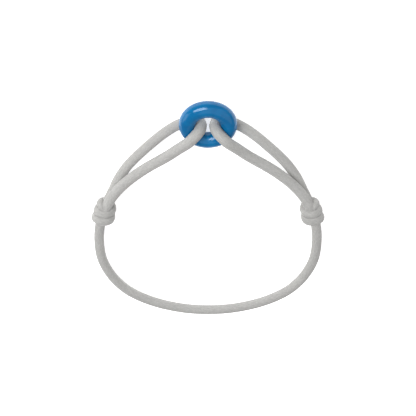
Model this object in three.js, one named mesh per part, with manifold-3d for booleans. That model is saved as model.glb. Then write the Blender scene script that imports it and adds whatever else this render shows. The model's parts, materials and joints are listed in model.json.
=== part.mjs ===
// Cord bracelet: a glazed ring held by two nooses of one elastic cord, each noose closed by
// a sliding knot. Millimetres, +Z up, lying flat. The origin is under the middle of the
// bracelet's box, the ring is at -Y, and the side that crosses the wrist is at +Y.
import * as THREE from 'three';
import { mergeVertices } from 'three/addons/utils/BufferGeometryUtils.js';
import Module from 'manifold-3d';

// Cord: a braided jacket around an elastic core.
const CORD_RADIUS = 1.28;
const JACKET_BORE_RADIUS = 0.95;
const CORE_RADIUS = 0.65;
const JACKET_SIDES = 8;
const CORE_SIDES = 6;
const GAP = 0.3;
const FLOOR_Z = CORD_RADIUS * Math.cos(Math.PI / JACKET_SIDES);

// Ring: an elliptical section swept round a tilted axis.
const RING_CENTRE = [0, -27.5, 5.0];
const RING_PITCH_RADIUS = 4.75;
const RING_RADIAL_HALF = 1.75;
const RING_AXIAL_HALF = 1.62;
const RING_TILT = THREE.MathUtils.degToRad(16);
const RING_SEGMENTS = 36;
const RING_SECTION_POINTS = 14;

// Side of the wrist loop: an arc of a circle that the knots slide along.
const SIDE_RADIUS = 33;
const SIDE_CENTRE = [-4.9, 9.3];
const SIDE_Z = 2.45;
const KNOT_ANGLE = THREE.MathUtils.degToRad(-21.1);
const SIDE_START = THREE.MathUtils.degToRad(-28);
const SIDE_END = THREE.MathUtils.degToRad(10);

// Knot: two wraps round the strand, a riding bight at the ring end and a cut tail.
const KNOT_BORE_RADIUS = CORD_RADIUS + GAP + 0.2;
const KNOT_OUTER_RADIUS = 3.0;
const KNOT_Z = KNOT_OUTER_RADIUS + 0.05;
const WRAP_HALF_WIDTH = 1.15;
const KNOT_SEGMENTS = 24;
const BIGHT_RADIUS = 0.95;
const BIGHT_RING_RADIUS = 2.05;
const BIGHT_STATION = -2.75;
const TAIL_RADIUS = 0.95;
const TAIL_LENGTH = 0.8;
const TAIL_ANGLE = THREE.MathUtils.degToRad(208);

const wasm = await Module();
wasm.setup();

const vector = (point) => new THREE.Vector3(...point);
const smoothCurve = (points) => new THREE.CatmullRomCurve3(points.map(vector), false, 'centripetal');

// A point on the side circle, lifted off the table by SIDE_Z.
function sidePoint(angle) {
  const x = SIDE_CENTRE[0] + SIDE_RADIUS * Math.cos(angle);
  const y = SIDE_CENTRE[1] + SIDE_RADIUS * Math.sin(angle);
  return [x, y, SIDE_Z];
}

function sidePoints(count) {
  const points = [];
  for (let i = 0; i <= count; i += 1) {
    points.push(sidePoint(THREE.MathUtils.lerp(SIDE_START, SIDE_END, i / count)));
  }
  return points;
}

// The stretch behind the wrist, flat on the table, from one side to the other.
const FAR_HALF = [[23.9, 22.9], [22.0, 25.0], [19.5, 27.1], [15.7, 29.3], [11.3, 31.0], [5.7, 32.2]];
const farPoints = [
  ...FAR_HALF.map(([x, y]) => [x, y, FLOOR_Z]),
  [0, 32.6, FLOOR_Z],
  ...FAR_HALF.slice().reverse().map(([x, y]) => [-x, y, FLOOR_Z]),
];

// The standing strand: up through the ring, under it, along the table and into the side.
const standingPoints = [
  [1.45, -27.45, 4.7],
  [1.48, -27.6, 3.9],
  [1.95, -27.4, 2.65],
  [3.1, -26.95, 1.64],
  [4.9, -26.4, 1.38],
  [7.3, -25.3, 1.38],
  [10.1, -23.4, 1.38],
  [13.0, -21.0, 1.38],
  [17.0, -17.3, 1.38],
  [19.3, -14.7, 1.4],
  [21.5, -11.4, 1.6],
  [23.0, -8.5, 2.05],
  ...sidePoints(6),
  [26.5, 18.2, 1.8],
  [25.0, 21.2, CORD_RADIUS + 0.1],
  [24.1, 22.7, CORD_RADIUS + 0.02],
];

// The working strand: out of the ring's hole, over its rim and down to the knot.
const workingPoints = [
  [1.45, -27.35, 5.1],
  [1.55, -27.1, 6.1],
  [2.15, -26.45, 6.95],
  [3.3, -25.3, 7.4],
  [4.7, -23.9, 7.2],
  [6.3, -22.1, 6.4],
  [8.2, -20.4, 5.5],
  [11.1, -18.2, 4.8],
  [15.0, -15.5, 4.4],
  [19.0, -12.3, 4.4],
  [21.5, -9.6, 4.8],
  [23.1, -7.6, 5.3],
];

// Sharp-cornered polygon with a flat side facing down the sweep's normal.
function polygon(radius, sides) {
  const points = [];
  for (let i = 0; i < sides; i += 1) {
    const angle = (2 * Math.PI * (i + 0.5)) / sides;
    points.push(new THREE.Vector2(radius * Math.cos(angle), radius * Math.sin(angle)));
  }
  return points;
}

function sweep(curve, radius, sides, steps, boreRadius) {
  const shape = new THREE.Shape(polygon(radius, sides));
  if (boreRadius) shape.holes.push(new THREE.Path(polygon(boreRadius, sides)));
  return new THREE.ExtrudeGeometry(shape, { steps, bevelEnabled: false, extrudePath: curve });
}

function toSolid(geometry) {
  const bare = geometry.clone();
  bare.deleteAttribute('normal');
  bare.deleteAttribute('uv');
  const merged = mergeVertices(bare);
  const vertProperties = new Float32Array(merged.attributes.position.array);
  const triVerts = new Uint32Array(merged.index.array);
  return new wasm.Manifold(new wasm.Mesh({ numProp: 3, vertProperties, triVerts }));
}

function toGeometry(solid) {
  const mesh = solid.getMesh();
  const geometry = new THREE.BufferGeometry();
  geometry.setAttribute('position', new THREE.BufferAttribute(mesh.vertProperties, 3));
  geometry.setIndex(new THREE.BufferAttribute(mesh.triVerts, 1));
  geometry.computeVertexNormals();
  return geometry;
}

const materials = {
  glaze: { color: 0x0070ac, roughness: 0.12, metalness: 0 },
  jacket: { color: 0xbebcb8, roughness: 0.85, metalness: 0 },
  core: { color: 0xe6e2d6, roughness: 0.7, metalness: 0 },
};

function makeMesh(name, geometry, look) {
  const mesh = new THREE.Mesh(geometry, new THREE.MeshStandardMaterial(materials[look]));
  mesh.name = name;
  return mesh;
}

// A stretch of cord is a jacket tube with the core inside it, both open at their ends.
function cordStretch(name, points, steps) {
  const curve = smoothCurve(points);
  const stretch = new THREE.Group();
  const jacket = sweep(curve, CORD_RADIUS, JACKET_SIDES, steps, JACKET_BORE_RADIUS);
  const core = sweep(curve, CORE_RADIUS, CORE_SIDES, steps);
  stretch.add(makeMesh(`${name}_jacket`, jacket, 'jacket'));
  stretch.add(makeMesh(`${name}_core`, core, 'core'));
  return stretch;
}

function makeRing() {
  const outline = [];
  for (let i = 0; i < RING_SECTION_POINTS; i += 1) {
    const angle = (2 * Math.PI * i) / RING_SECTION_POINTS;
    const r = RING_PITCH_RADIUS + RING_RADIAL_HALF * Math.cos(angle);
    outline.push(new THREE.Vector2(r, RING_AXIAL_HALF * Math.sin(angle)));
  }
  outline.push(outline[0].clone());
  const ring = makeMesh('ring', new THREE.LatheGeometry(outline, RING_SEGMENTS), 'glaze');
  ring.rotation.x = Math.PI / 2 - RING_TILT;
  ring.position.set(...RING_CENTRE);
  return ring;
}

// Two crowned wraps side by side, with a crease between them, closed on the axis.
function wrapOutline() {
  const crownSteps = 6;
  const crownHeight = 0.85;
  const shoulder = KNOT_OUTER_RADIUS - crownHeight;
  const outline = [new THREE.Vector2(0, -2 * WRAP_HALF_WIDTH)];
  for (const centre of [-WRAP_HALF_WIDTH, WRAP_HALF_WIDTH]) {
    for (let i = 0; i <= crownSteps; i += 1) {
      const angle = Math.PI * (1 - i / crownSteps);
      const station = centre + WRAP_HALF_WIDTH * Math.cos(angle);
      const isCrease = centre > 0 && i === 0;
      if (!isCrease) outline.push(new THREE.Vector2(shoulder + crownHeight * Math.sin(angle), station));
    }
  }
  outline.push(new THREE.Vector2(0, 2 * WRAP_HALF_WIDTH));
  return outline;
}

// The bight rides over the outer, upper part of the knot's ring end.
function bightCurve() {
  const points = [];
  for (let degrees = -30; degrees <= 80; degrees += 22) {
    const angle = THREE.MathUtils.degToRad(degrees);
    const x = BIGHT_RING_RADIUS * Math.cos(angle);
    const z = BIGHT_RING_RADIUS * Math.sin(angle);
    points.push([x, BIGHT_STATION, z]);
  }
  return smoothCurve(points);
}

// Knot frame: +Y along the strand away from the ring, +X outwards, +Z up.
function makeKnot(side) {
  const wraps = toSolid(new THREE.LatheGeometry(wrapOutline(), KNOT_SEGMENTS));
  const bight = toSolid(sweep(bightCurve(), BIGHT_RADIUS, JACKET_SIDES, 8));
  const boreLength = 4 * KNOT_OUTER_RADIUS;
  const bore = new THREE.CylinderGeometry(KNOT_BORE_RADIUS, KNOT_BORE_RADIUS, boreLength, KNOT_SEGMENTS);
  bore.translate(0, 0, SIDE_Z - KNOT_Z);
  const knotSolid = wraps.add(bight).subtract(toSolid(bore));
  const tail = new THREE.CylinderGeometry(TAIL_RADIUS, TAIL_RADIUS, TAIL_LENGTH, JACKET_SIDES);
  const tailOffset = CORD_RADIUS + GAP + TAIL_RADIUS;
  const knot = new THREE.Group();
  knot.add(makeMesh(`${side}_knot_wraps`, toGeometry(knotSolid), 'jacket'));
  const tailMesh = makeMesh(`${side}_knot_tail`, tail, 'jacket');
  const tailStation = 2 * WRAP_HALF_WIDTH + GAP + TAIL_LENGTH / 2;
  const tailDrop = tailOffset * Math.sin(TAIL_ANGLE) + SIDE_Z - KNOT_Z;
  tailMesh.position.set(tailOffset * Math.cos(TAIL_ANGLE), tailStation, tailDrop);
  knot.add(tailMesh);
  const [knotX, knotY] = sidePoint(KNOT_ANGLE);
  knot.position.set(knotX, knotY, KNOT_Z);
  knot.rotation.z = KNOT_ANGLE;
  return knot;
}

const mirrorX = (points) => points.map(([x, y, z]) => [-x, y, z]);

// The right-hand knot is the left one's mirror image.
function mirrorKnot(knot, side) {
  knot.updateMatrixWorld(true);
  const mirrored = new THREE.Group();
  for (const mesh of knot.children) {
    const geometry = mesh.geometry.clone().applyMatrix4(mesh.matrixWorld);
    geometry.scale(-1, 1, 1);
    const index = geometry.index.array;
    for (let i = 0; i < index.length; i += 3) {
      [index[i], index[i + 1]] = [index[i + 1], index[i]];
    }
    geometry.computeVertexNormals();
    const copy = new THREE.Mesh(geometry, mesh.material.clone());
    copy.name = mesh.name.replace('left', side);
    mirrored.add(copy);
  }
  return mirrored;
}

const bracelet = new THREE.Group();
bracelet.add(makeRing());
bracelet.add(cordStretch('wrist_arc', farPoints, 24));
bracelet.add(cordStretch('left_standing_strand', standingPoints, 54));
bracelet.add(cordStretch('right_standing_strand', mirrorX(standingPoints), 54));
bracelet.add(cordStretch('left_working_strand', workingPoints, 28));
bracelet.add(cordStretch('right_working_strand', mirrorX(workingPoints), 28));
const leftKnot = makeKnot('left');
bracelet.add(leftKnot);
bracelet.add(mirrorKnot(leftKnot, 'right'));

export default bracelet;
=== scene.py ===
"""Looks for the cord bracelet: a glazed ring held by two nooses of braided elastic cord.

Routes and shapes are in millimetres in the frame's axes: +Z up, the ring at -Y, the far side
of the wrist loop at +Y, and the left knot at +X. Meshes are made in metres.
"""

import json
import math

import bpy
import numpy as np
from mathutils import Matrix, Quaternion, Vector


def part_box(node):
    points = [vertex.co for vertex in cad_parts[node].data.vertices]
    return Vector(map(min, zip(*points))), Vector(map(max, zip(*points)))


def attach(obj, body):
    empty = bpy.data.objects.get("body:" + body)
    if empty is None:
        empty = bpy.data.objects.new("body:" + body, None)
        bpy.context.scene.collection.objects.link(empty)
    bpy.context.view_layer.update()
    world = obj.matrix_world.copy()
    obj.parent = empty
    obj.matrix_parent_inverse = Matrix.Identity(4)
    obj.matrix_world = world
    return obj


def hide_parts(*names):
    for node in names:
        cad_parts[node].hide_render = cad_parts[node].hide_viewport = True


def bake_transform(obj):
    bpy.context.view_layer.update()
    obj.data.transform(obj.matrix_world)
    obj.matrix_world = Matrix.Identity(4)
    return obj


MM = 0.001

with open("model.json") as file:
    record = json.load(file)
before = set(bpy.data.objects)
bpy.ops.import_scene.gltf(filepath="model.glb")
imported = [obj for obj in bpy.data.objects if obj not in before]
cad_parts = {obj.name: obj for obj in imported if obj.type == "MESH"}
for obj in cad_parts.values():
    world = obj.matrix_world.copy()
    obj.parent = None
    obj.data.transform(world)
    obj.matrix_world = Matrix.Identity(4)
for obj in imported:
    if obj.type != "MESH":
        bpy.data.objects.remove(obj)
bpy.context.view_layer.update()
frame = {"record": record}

# Camera: above the ring's side of the loop, rolled so that the ring is at the picture's top.
CAMERA_TARGET = (0.0, -2.5, 1.25)
CAMERA_DISTANCE = 150.0
CAMERA_ELEVATION = math.radians(55)
CAMERA_LENS = 51.9
CAMERA_CLIP_METRES = (0.005, 10.0)

# Cord: a braided jacket on a round core. Where it is pulled tight, near the ring, it is thinner.
CORD_RADIUS = 1.25
CORE_RADIUS = 0.7
TIGHT_BELOW_Y = -12
TIGHT_SCALE = 0.955
YARNS = 12
YARN_PITCH = 0.62
YARN_HEIGHT = 0.045
YARN_END_HEIGHT = 0.45
YARN_MEAN_HEIGHT = 0.6

# Tube meshes: points round a section, the step between sections, and the reach over which a
# cord's line is smoothed.
JACKET_SIDES = 72
CORE_SIDES = 20
SECTION_STEP = 0.13
CORE_SECTION_STEP = 3 * SECTION_STEP
EASING = 0.6
SPLINE_SAMPLES = 24

# Ring.
RING_PITCH_RADIUS = 4.58
RING_RADIAL_HALF = 1.92
RING_AXIAL_HALF = 1.76
RING_TURN_STEPS = 192
RING_SECTION_STEPS = 72

# Side of the wrist loop: an arc of a circle that the knots slide along.
SIDE_RADIUS = 33.0
SIDE_CENTRE = (-4.9, 9.3)
SIDE_Z = 2.45
SIDE_START = math.radians(-28)
SIDE_END = math.radians(5)
SIDE_SPANS = 5
KNOT_ANGLE = math.radians(-21.1)
KNOT_Z = 3.05


def side_point(angle):
    x = SIDE_CENTRE[0] + SIDE_RADIUS * math.cos(angle)
    y = SIDE_CENTRE[1] + SIDE_RADIUS * math.sin(angle)
    return (x, y, SIDE_Z)


# The standing strand's left half, from inside the ring to the middle of the far side.
STANDING_HALF = [
    (1.5, -27.35, 5.2),
    (1.6, -27.6, 3.9),
    (2.15, -27.4, 2.65),
    (3.2, -26.95, 1.64),
    (4.9, -26.5, 1.38),
    (7.3, -25.5, 1.38),
    (10.1, -23.6, 1.38),
    (13.0, -21.12, 1.38),
    (17.0, -17.3, 1.38),
    (19.3, -14.7, 1.4),
    (21.5, -11.4, 1.6),
    (23.0, -8.5, 2.05),
    *[side_point(angle) for angle in np.linspace(SIDE_START, SIDE_END, SIDE_SPANS + 1)],
    (27.4, 15.15, 2.3),
    (26.5, 18.1, 1.95),
    (25.2, 21.05, 1.62),
    (22.5, 24.75, 1.4),
    (19.55, 27.2, 1.32),
    (15.7, 29.38, 1.28),
    (11.3, 31.05, 1.27),
    (5.7, 32.33, 1.27),
]
FAR_MIDDLE = (0.0, 32.72, 1.27)

# The working strand: out of the ring's hole, over its rim and into the left knot.
WORKING = [
    (1.5, -27.45, 4.8),
    (1.55, -27.15, 6.0),
    (2.15, -26.5, 6.85),
    (3.3, -25.35, 7.2),
    (4.4, -24.1, 7.05),
    (5.45, -23.05, 6.4),
    (7.22, -21.35, 5.5),
    (9.14, -19.62, 4.9),
    (11.06, -18.2, 4.5),
    (14.96, -15.5, 4.1),
    (18.95, -12.3, 4.0),
    (21.5, -9.8, 4.1),
    (23.05, -7.97, 4.4),
    (24.0, -6.55, 4.6),
    (24.47, -5.55, 4.6),
    (25.16, -4.05, 4.2),
    (25.6, -2.5, 3.7),
]


def mirror(points):
    return [(-x, y, z) for x, y, z in points]


# ---------------------------------------------------------------- curves and tubes


def distance_along(line):
    return np.concatenate([[0], np.cumsum(np.linalg.norm(np.diff(line, axis=0), axis=1))])


def spline(points, step):
    """Centripetal Catmull-Rom through points, resampled at an even step."""
    p = np.array(points, float)
    p = np.vstack([2 * p[0] - p[1], p, 2 * p[-1] - p[-2]])
    lengths = np.linalg.norm(np.diff(p[:, :3], axis=0), axis=1)
    knots = np.concatenate([[0], np.cumsum(np.sqrt(lengths))])
    rows = []
    for i in range(1, len(p) - 2):
        t0, t1, t2, t3 = knots[i - 1 : i + 3]
        t = np.linspace(t1, t2, SPLINE_SAMPLES, endpoint=False)[:, None]
        a1 = (t1 - t) / (t1 - t0) * p[i - 1] + (t - t0) / (t1 - t0) * p[i]
        a2 = (t2 - t) / (t2 - t1) * p[i] + (t - t1) / (t2 - t1) * p[i + 1]
        a3 = (t3 - t) / (t3 - t2) * p[i + 1] + (t - t2) / (t3 - t2) * p[i + 2]
        b1 = (t2 - t) / (t2 - t0) * a1 + (t - t0) / (t2 - t0) * a2
        b2 = (t3 - t) / (t3 - t1) * a2 + (t - t1) / (t3 - t1) * a3
        rows.append((t2 - t) / (t2 - t1) * b1 + (t - t1) / (t2 - t1) * b2)
    dense = np.vstack(rows + [p[-2][None]])
    along = distance_along(dense[:, :3])
    count = max(2, int(round(along[-1] / step)))
    even = np.linspace(0, along[-1], count + 1)
    return np.column_stack([np.interp(even, along, column) for column in dense.T])


def unit(rows):
    return rows / np.linalg.norm(rows, axis=1)[:, None]


def tangents_of(line):
    return unit(np.gradient(line, axis=0))


def carried_normals(line, first):
    """Normals carried along the line with no twist, starting from the direction first."""
    tangents = tangents_of(line)
    normal = np.array(first, float)
    normals = []
    for tangent in tangents:
        normal = normal - tangent * (normal @ tangent)
        normal = normal / np.linalg.norm(normal)
        normals.append(normal)
    return np.array(normals)


def braid_height(around, along):
    """Height of a braid of crossing yarns, 0 to 1, at turns around and millimetres along."""
    a = YARNS * around + along / YARN_PITCH
    b = YARNS * around - along / YARN_PITCH
    over_a = (np.floor(a) + np.floor(b)) % 2 < 0.5
    across = np.where(over_a, a % 1.0, b % 1.0)
    lengthwise = np.where(over_a, b % 1.0, a % 1.0)
    crown = np.sqrt(np.clip(1 - (2 * across - 1) ** 2, 0, 1))
    rise = np.sin(np.pi * lengthwise) ** 0.5
    return crown * (YARN_END_HEIGHT + (1 - YARN_END_HEIGHT) * rise)


def tube(name, line, normals, half_n, half_b, around=JACKET_SIDES, braided=True, power=2.0):
    """A closed tube along line, with its half sizes along the normal and across it.

    A power over 2 makes its section squarer than an ellipse.
    """
    count = len(line)
    tangents = tangents_of(line)
    binormals = np.cross(tangents, normals)
    along = distance_along(line)
    turn = np.arange(around) / around
    angle = 2 * math.pi * turn
    c = np.sign(np.cos(angle)) * np.abs(np.cos(angle)) ** (2 / power)
    s = np.sign(np.sin(angle)) * np.abs(np.sin(angle)) ** (2 / power)
    half_n = np.broadcast_to(half_n, (count,))[:, None]
    half_b = np.broadcast_to(half_b, (count,))[:, None]
    x = half_n * c[None]
    y = half_b * s[None]
    if braided:
        size = np.hypot(x, y)
        lift = YARN_HEIGHT * (braid_height(turn[None], along[:, None]) - YARN_MEAN_HEIGHT)
        x = x * (1 + lift / size)
        y = y * (1 + lift / size)
    points = line[:, None] + x[..., None] * normals[:, None] + y[..., None] * binormals[:, None]
    verts = points.reshape(-1, 3)
    ring = np.arange(around)
    nxt = (ring + 1) % around
    start = np.arange(count - 1)[:, None] * around
    quads = np.stack([start + ring, start + nxt, start + around + nxt, start + around + ring], -1)
    faces = quads.reshape(-1, 4)
    uv = np.empty((count - 1, around, 4, 2))
    uv[..., 0, 0] = uv[..., 3, 0] = turn
    uv[..., 1, 0] = uv[..., 2, 0] = turn + 1 / around
    uv[..., 0, 1] = uv[..., 1, 1] = along[:-1, None]
    uv[..., 2, 1] = uv[..., 3, 1] = along[1:, None]
    caps = [(line[0], ring[::-1]), (line[-1], (count - 1) * around + ring)]
    return build_mesh(name, verts, faces, uv.reshape(-1, 2), caps, [along[0], along[-1]])


def build_mesh(name, verts, quads, uv, caps=(), cap_along=()):
    """A smooth-shaded mesh of quads, in metres, with each open end closed by a fan."""
    verts = [tuple(v) for v in np.asarray(verts) * MM]
    faces = [tuple(int(i) for i in q) for q in quads]
    loops = [tuple(pair) for pair in uv]
    for (centre, rim), v in zip(caps, cap_along):
        middle = len(verts)
        verts.append(tuple(np.asarray(centre) * MM))
        for i, j in zip(rim, np.roll(rim, -1)):
            faces.append((int(i), int(j), middle))
            loops.extend([(0.0, v), (0.0, v), (0.0, v)])
    mesh = bpy.data.meshes.new(name)
    mesh.from_pydata(verts, [], faces)
    layer = mesh.uv_layers.new(name="surface_uv")
    layer.data.foreach_set("uv", np.array(loops, np.float32).ravel())
    mesh.polygons.foreach_set("use_smooth", [True] * len(mesh.polygons))
    mesh.update()
    piece = bpy.data.objects.new(name, mesh)
    bpy.context.scene.collection.objects.link(piece)
    return piece


def cord_tube(name, points, radius, core=False):
    """A round cord along points. radius is one value or one for each point."""
    rows = [(*p, r) for p, r in zip(points, np.broadcast_to(radius, (len(points),)))]
    step = CORE_SECTION_STEP if core else SECTION_STEP
    sides = CORE_SIDES if core else JACKET_SIDES
    data = spline(rows, step)
    for _ in range(int(round(2 * (EASING / step) ** 2))):
        data[1:-1] = (data[:-2] + 2 * data[1:-1] + data[2:]) / 4
    line = data[:, :3]
    normals = carried_normals(line, (1, 0, 0))
    piece = tube(name, line, normals, data[:, 3], data[:, 3], around=sides, braided=not core)
    return piece, line


# ---------------------------------------------------------------- materials


def new_material(name):
    material = bpy.data.materials.new(name)
    material.use_nodes = True
    return material, material.node_tree, material.node_tree.nodes["Principled BSDF"]


def add(tree, kind, **values):
    node = tree.nodes.new(kind)
    for key, value in values.items():
        setattr(node, key, value)
    return node


def cord_space(tree):
    """A seamless space on a tube: the turn as a circle, and the length along the cord."""
    uv = add(tree, "ShaderNodeUVMap", uv_map="surface_uv")
    split = add(tree, "ShaderNodeSeparateXYZ")
    tree.links.new(uv.outputs["UV"], split.inputs[0])
    angle = add(tree, "ShaderNodeMath", operation="MULTIPLY")
    tree.links.new(split.outputs["X"], angle.inputs[0])
    angle.inputs[1].default_value = 2 * math.pi
    joined = add(tree, "ShaderNodeCombineXYZ")
    for index, operation in enumerate(("COSINE", "SINE")):
        wave = add(tree, "ShaderNodeMath", operation=operation)
        tree.links.new(angle.outputs[0], wave.inputs[0])
        tree.links.new(wave.outputs[0], joined.inputs[index])
    tree.links.new(split.outputs["Y"], joined.inputs[2])
    return joined.outputs[0]


def scaled(tree, vector, scale):
    node = add(tree, "ShaderNodeMapping")
    node.inputs["Scale"].default_value = scale
    tree.links.new(vector, node.inputs["Vector"])
    return node.outputs[0]


def noise(tree, vector, scale, detail=2.0, roughness=0.5):
    node = add(tree, "ShaderNodeTexNoise")
    node.inputs["Scale"].default_value = scale
    node.inputs["Detail"].default_value = detail
    node.inputs["Roughness"].default_value = roughness
    tree.links.new(vector, node.inputs["Vector"])
    return node.outputs["Fac"]


def ramp(tree, value, stops):
    node = add(tree, "ShaderNodeValToRGB")
    tree.links.new(value, node.inputs["Fac"])
    elements = node.color_ramp.elements
    while len(elements) < len(stops):
        elements.new(0.5)
    for element, (place, colour) in zip(elements, stops):
        element.position = place
        element.color = (*colour, 1.0)
    return node.outputs["Color"]


def multiplied(tree, first, second):
    node = add(tree, "ShaderNodeMix", data_type="RGBA", blend_type="MULTIPLY")
    node.inputs["Factor"].default_value = 1.0
    tree.links.new(first, node.inputs["A"])
    tree.links.new(second, node.inputs["B"])
    return node.outputs["Result"]


def bump(tree, height, strength, distance, normal=None):
    node = add(tree, "ShaderNodeBump")
    node.inputs["Strength"].default_value = strength
    node.inputs["Distance"].default_value = distance
    tree.links.new(height, node.inputs["Height"])
    if normal is not None:
        tree.links.new(normal, node.inputs["Normal"])
    return node.outputs["Normal"]


def make_jacket_material():
    """Braided textile: warm light grey yarns with lengthwise fibres and soft flecks."""
    material, tree, shader = new_material("braided_jacket")
    space = cord_space(tree)
    flecks = noise(tree, scaled(tree, space, (1.0, 1.0, 0.4)), 7.0, 3.0, 0.7)
    streaks = noise(tree, scaled(tree, space, (1.0, 1.0, 0.16)), 9.0, 3.0, 0.6)
    patches = noise(tree, scaled(tree, space, (0.4, 0.4, 0.05)), 2.0, 2.0)
    warm = ramp(tree, flecks, [(0.3, (0.412, 0.408, 0.398)), (0.7, (0.49, 0.485, 0.473))])
    fibres = ramp(tree, streaks, [(0.35, (0.78, 0.78, 0.78)), (0.65, (1.0, 1.0, 1.0))])
    tone = ramp(tree, patches, [(0.3, (0.93, 0.93, 0.93)), (0.7, (1.0, 1.0, 0.99))])
    colour = multiplied(tree, multiplied(tree, warm, fibres), tone)
    tree.links.new(colour, shader.inputs["Base Color"])
    shader.inputs["Roughness"].default_value = 0.85
    shader.inputs["Specular IOR Level"].default_value = 0.25
    shader.inputs["Sheen Weight"].default_value = 0.25
    shader.inputs["Sheen Roughness"].default_value = 0.4
    fine = noise(tree, scaled(tree, space, (1.0, 1.0, 0.25)), 22.0, 2.0)
    normal = bump(tree, streaks, 0.5, 0.00006)
    normal = bump(tree, fine, 0.35, 0.00003, normal)
    tree.links.new(normal, shader.inputs["Normal"])
    return material


def make_core_material():
    """Elastic core: off-white rubber threads laid lengthwise."""
    material, tree, shader = new_material("elastic_core")
    space = cord_space(tree)
    threads = noise(tree, scaled(tree, space, (1.0, 1.0, 0.03)), 8.0, 2.0)
    colour = ramp(tree, threads, [(0.35, (0.62, 0.58, 0.5)), (0.65, (0.83, 0.8, 0.73))])
    tree.links.new(colour, shader.inputs["Base Color"])
    shader.inputs["Roughness"].default_value = 0.55
    tree.links.new(bump(tree, threads, 0.6, 0.00008), shader.inputs["Normal"])
    return material


def make_glaze_material():
    """Polished blue glaze: faint brush sweeps round the ring, in its colour and its gloss."""
    material, tree, shader = new_material("blue_glaze")
    uv = add(tree, "ShaderNodeUVMap", uv_map="surface_uv")
    split = add(tree, "ShaderNodeSeparateXYZ")
    tree.links.new(uv.outputs["UV"], split.inputs[0])
    space = ring_space(tree, split.outputs["X"], split.outputs["Y"])
    sweeps = noise(tree, space, 1.6, 3.0, 0.6)
    brush = noise(tree, scaled(tree, space, (1.0, 1.0, 6.0)), 2.6, 4.0, 0.7)
    deep = ramp(tree, sweeps, [(0.35, (0.0, 0.105, 0.27)), (0.68, (0.0, 0.14, 0.34))])
    tree.links.new(deep, shader.inputs["Base Color"])
    gloss = add(tree, "ShaderNodeMapRange")
    gloss.inputs["From Min"].default_value = 0.4
    gloss.inputs["From Max"].default_value = 0.6
    gloss.inputs["To Min"].default_value = 0.05
    gloss.inputs["To Max"].default_value = 0.14
    tree.links.new(brush, gloss.inputs["Value"])
    tree.links.new(gloss.outputs["Result"], shader.inputs["Roughness"])
    shader.inputs["Specular IOR Level"].default_value = 0.5
    shader.inputs["Specular Tint"].default_value = (0.8, 0.9, 1.0, 1)
    tree.links.new(bump(tree, brush, 0.15, 0.00012), shader.inputs["Normal"])
    return material


def ring_space(tree, around, section):
    """A seamless space on the ring, long round the ring and short round its section."""
    joined = add(tree, "ShaderNodeCombineXYZ")
    spots = [(around, "COSINE", 1.0), (around, "SINE", 1.0), (section, "SINE", 0.8)]
    for index, (turn, operation, size) in enumerate(spots):
        angle = add(tree, "ShaderNodeMath", operation="MULTIPLY")
        tree.links.new(turn, angle.inputs[0])
        angle.inputs[1].default_value = 2 * math.pi
        wave = add(tree, "ShaderNodeMath", operation=operation)
        tree.links.new(angle.outputs[0], wave.inputs[0])
        sized = add(tree, "ShaderNodeMath", operation="MULTIPLY")
        tree.links.new(wave.outputs[0], sized.inputs[0])
        sized.inputs[1].default_value = size
        tree.links.new(sized.outputs[0], joined.inputs[index])
    return joined.outputs[0]


def finish_piece(piece, material, slot, body, *nodes):
    piece.data.materials.append(material)
    if nodes:
        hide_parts(*nodes)
    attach(piece, body)


# ---------------------------------------------------------------- camera


def make_camera():
    e = CAMERA_ELEVATION
    forward = Vector((0, math.cos(e), -math.sin(e)))
    right = Vector((-1, 0, 0))
    up = Vector((0, -math.sin(e), -math.cos(e)))
    place = (Vector(CAMERA_TARGET) - forward * CAMERA_DISTANCE) * MM
    data = bpy.data.cameras.new("camera")
    data.lens = CAMERA_LENS
    data.clip_start, data.clip_end = CAMERA_CLIP_METRES
    camera = bpy.data.objects.new("camera", data)
    columns = Matrix((right, up, -forward)).transposed().to_4x4()
    camera.matrix_world = Matrix.Translation(place) @ columns
    bpy.context.scene.collection.objects.link(camera)
    bpy.context.scene.camera = camera


# ---------------------------------------------------------------- cords


def make_standing_cord(jacket, core):
    """One length of cord from inside the ring, round the wrist loop and back into the ring."""
    route = STANDING_HALF + [FAR_MIDDLE] + mirror(STANDING_HALF[::-1])
    scale = np.array([TIGHT_SCALE if y < TIGHT_BELOW_Y else 1.0 for _, y, _ in route])
    piece, line = cord_tube("standing_cord", route, CORD_RADIUS * scale)
    nodes = ["wrist_arc", "left_standing_strand", "right_standing_strand"]
    finish_piece(piece, jacket, "jacket", "cord", *[f"{n}_jacket" for n in nodes])
    inner, _ = cord_tube("standing_cord_core", route, CORE_RADIUS, core=True)
    finish_piece(inner, core, "core", "cord", *[f"{n}_core" for n in nodes])


def make_working_strand(side, sign, jacket, core):
    """The strand that comes out of the ring, over its rim and into the knot."""
    route = [(sign * x, y, z) for x, y, z in WORKING]
    piece, line = cord_tube(f"{side}_working_cord", route, CORD_RADIUS)
    inner, _ = cord_tube(f"{side}_working_cord_core", route, CORE_RADIUS, core=True)
    for strand, material, slot in ((piece, jacket, "jacket"), (inner, core, "core")):
        strand.data.materials.append(material)
        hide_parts(f"{side}_working_strand_{slot}")
        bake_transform(strand)


# ---------------------------------------------------------------- knots

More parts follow.
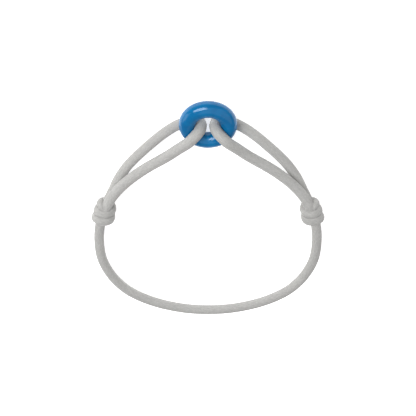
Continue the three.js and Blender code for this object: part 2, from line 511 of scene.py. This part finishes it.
# The wraps' path round the two strands, in the knot's own frame: the angle, with 0 at the
# outer side and 90 at the top, the path's reach and shift sideways, its station along the
# strand, and the cord's half width. It starts at the arc end and winds towards the ring.
WRAP_ROWS = [
    (-90, 1.9, -0.45, 2.3, 1.0),
    (0, 2.0, -0.45, 1.95, 1.15),
    (90, 2.05, -0.45, 1.2, 1.25),
    (135, 2.05, -0.45, 0.95, 1.2),
    (180, 1.95, -0.4, 0.95, 1.1),
    (270, 1.9, -0.25, 0.45, 1.15),
    (360, 1.75, -0.1, -0.3, 1.3),
    (405, 1.8, -0.08, -0.85, 1.25),
    (450, 1.75, -0.05, -0.95, 1.05),
    (495, 1.8, -0.05, -1.35, 1.15),
    (540, 1.9, -0.05, -1.35, 1.25),
    (630, 1.7, -0.1, -1.65, 1.15),
    (720, 1.55, -0.1, -2.3, 0.95),
]
WRAP_STEP = 22.5
WRAP_THICKNESS_HALF = 0.86
WRAP_PATH_UP = 2.05
WRAP_SECTION_POWER = 2.3

# Rows of (out, along, up), the direction that the cord's thin side faces, and its half sizes.
WRAP_LEAD_IN = [
    ((0.4, 0.4, 0.0), (1, 0, 0.3), 0.8, 0.9),
    ((-0.6, 1.2, -0.4), (0, 0.4, -1), 0.8, 0.9),
]
BIGHT = [
    ((1.45, -2.9, 1.0), (0.85, -0.2, 0.5), 0.86, 0.85),
    ((0.95, -2.75, 1.75), (0.5, -0.3, 0.8), 0.84, 0.85),
    ((0.1, -1.8, 1.2), (0.0, -0.2, 1.0), 0.8, 0.85),
    ((-0.2, -0.4, 0.6), (0.0, 0.0, 1.0), 0.8, 0.85),
]

# The cut tail's route, as (out, along, up). Its core stands out of the cut by a share of a step.
TAIL = [(-1.2, 0.6, -1.0), (-1.6, 1.5, -1.35), (-1.9, 2.55, -1.6)]
TAIL_RADIUS = 0.85
TAIL_CORE_RADIUS = 0.5
TAIL_CORE_SIDES = 24
TAIL_CORE_OUT = 0.4


def knot_rows():
    table = np.array(WRAP_ROWS, float)
    rows = [(*place, *facing, thin, wide) for place, facing, thin, wide in WRAP_LEAD_IN]
    for degrees in np.arange(table[0, 0], table[-1, 0] + 1, WRAP_STEP):
        reach, shift, station, wide = (np.interp(degrees, table[:, 0], col) for col in table.T[1:])
        c, s = math.cos(math.radians(degrees)), math.sin(math.radians(degrees))
        place = (reach * c + shift, station, WRAP_PATH_UP * s)
        rows.append((*place, c, 0.0, s, WRAP_THICKNESS_HALF, wide))
    rows += [(*place, *facing, thin, wide) for place, facing, thin, wide in BIGHT]
    return rows


def to_knot_frame(local):
    """Points or directions from (out, along, up) at the left knot to the frame's axes."""
    out = np.array([math.cos(KNOT_ANGLE), math.sin(KNOT_ANGLE), 0])
    along = np.array([-math.sin(KNOT_ANGLE), math.cos(KNOT_ANGLE), 0])
    return local @ np.array([out, along, [0, 0, 1]])


def make_knot(side, sign, jacket, core):
    """Two flattened wraps, the bight that rides at the ring end, and the cut tail."""
    data = spline(knot_rows(), SECTION_STEP)
    centre = np.array([*side_point(KNOT_ANGLE)[:2], KNOT_Z])
    flip = np.array([sign, 1, 1])
    line = (to_knot_frame(data[:, :3]) + centre) * flip
    facing = to_knot_frame(data[:, 3:6]) * flip
    tangents = tangents_of(line)
    facing = unit(facing - tangents * np.sum(facing * tangents, axis=1)[:, None])
    thin, wide = data[:, 6], data[:, 7]
    wraps = tube(f"{side}_knot_cord", line, facing, thin, wide, power=WRAP_SECTION_POWER)
    finish_piece(wraps, jacket, "jacket", f"{side}_knot", f"{side}_knot_wraps")

    line = (to_knot_frame(spline(TAIL, SECTION_STEP)) + centre) * flip
    normals = carried_normals(line, (0, 0, 1))
    tail = tube(f"{side}_knot_cut_tail", line, normals, TAIL_RADIUS, TAIL_RADIUS)
    finish_piece(tail, jacket, "jacket", f"{side}_knot", f"{side}_knot_tail")
    stub = tube(
        f"{side}_knot_cut_core",
        line + (line[-1] - line[-2]) * TAIL_CORE_OUT,
        normals,
        TAIL_CORE_RADIUS,
        TAIL_CORE_RADIUS,
        around=TAIL_CORE_SIDES,
        braided=False,
    )
    finish_piece(stub, core, "core", f"{side}_knot")


# ---------------------------------------------------------------- ring


def make_ring(glaze):
    """The donut, about the CAD ring's own middle and hinge axis."""
    joint = next(j for j in frame["record"]["behaviour"]["joints"] if j["name"] == "ring_spin")
    axis = Vector(joint["axis"]).normalized()
    low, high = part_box("ring")
    middle = (Vector(low) + Vector(high)) / 2
    turns, section = RING_TURN_STEPS, RING_SECTION_STEPS
    u = np.arange(turns) / turns
    v = np.arange(section) / section
    uu, vv = np.meshgrid(u, v, indexing="ij")
    radius = RING_PITCH_RADIUS + RING_RADIAL_HALF * np.cos(2 * math.pi * vv)
    verts = np.stack(
        [
            radius * np.cos(2 * math.pi * uu),
            radius * np.sin(2 * math.pi * uu),
            RING_AXIAL_HALF * np.sin(2 * math.pi * vv),
        ],
        -1,
    ).reshape(-1, 3)
    i, j = np.meshgrid(np.arange(turns), np.arange(section), indexing="ij")
    i2, j2 = (i + 1) % turns, (j + 1) % section
    quads = np.stack([i * section + j, i2 * section + j, i2 * section + j2, i * section + j2], -1)
    uv = np.zeros((turns, section, 4, 2))
    for corner, (du, dv) in enumerate([(0, 0), (1, 0), (1, 1), (0, 1)]):
        uv[..., corner, 0] = uu + du / turns
        uv[..., corner, 1] = vv + dv / section
    ring = build_mesh("glazed_ring", verts, quads.reshape(-1, 4), uv.reshape(-1, 2))
    turn = Vector((0, 0, 1)).rotation_difference(axis).to_matrix().to_4x4()
    ring.matrix_world = Matrix.Translation(middle) @ turn
    finish_piece(ring, glaze, "glaze", "ring", "ring")


# ---------------------------------------------------------------- studio


# Area lights: name, place, point aimed at, size, watts, and roll in radians.
LIGHTS = [
    ("key", (110, -130, 240), (0, -20, 0), (190, 130), 0.7, -0.35),
    ("side", (260, 20, 120), (0, 0, 0), (180, 120), 0.12, 0.0),
    ("fill", (-110, 0, 240), (-10, 0, 0), (420, 420), 0.3, 0.0),
]
WORLD_STRENGTH = 0.28
FLOOR_HALF = 600.0
FLOOR_GLOW = 0.6


def area_light(name, place, aim, size, watts, roll):
    data = bpy.data.lights.new(name, "AREA")
    data.shape = "RECTANGLE"
    data.size = size[0] * MM
    data.size_y = size[1] * MM
    data.energy = watts
    light = bpy.data.objects.new(name, data)
    light.location = Vector(place) * MM
    facing = (Vector(aim) - Vector(place)).to_track_quat("-Z", "Y")
    light.rotation_euler = (facing @ Quaternion((0, 0, 1), roll)).to_euler()
    bpy.context.scene.collection.objects.link(light)


def make_studio():
    half = FLOOR_HALF * MM
    corners = [(-half, -half, 0), (half, -half, 0), (half, half, 0), (-half, half, 0)]
    mesh = bpy.data.meshes.new("floor")
    mesh.from_pydata(corners, [], [(0, 1, 2, 3)])
    floor = bpy.data.objects.new("floor", mesh)
    bpy.context.scene.collection.objects.link(floor)
    material, _, shader = new_material("pale_floor")
    shader.inputs["Base Color"].default_value = (0.93, 0.93, 0.93, 1)
    shader.inputs["Roughness"].default_value = 0.9
    shader.inputs["Specular IOR Level"].default_value = 0.0
    shader.inputs["Emission Color"].default_value = (1, 1, 1, 1)
    shader.inputs["Emission Strength"].default_value = FLOOR_GLOW
    mesh.materials.append(material)
    world = bpy.data.worlds.new("studio")
    world.use_nodes = True
    background = world.node_tree.nodes["Background"]
    background.inputs["Color"].default_value = (1, 1, 1, 1)
    background.inputs["Strength"].default_value = WORLD_STRENGTH
    bpy.context.scene.world = world
    for light in LIGHTS:
        area_light(*light)
    bpy.context.scene.view_settings.view_transform = "Standard"


make_camera()
jacket_material = make_jacket_material()
core_material = make_core_material()
make_standing_cord(jacket_material, core_material)
for side_name, mirror_sign in (("left", 1), ("right", -1)):
    make_working_strand(side_name, mirror_sign, jacket_material, core_material)
    make_knot(side_name, mirror_sign, jacket_material, core_material)
make_ring(make_glaze_material())
make_studio()
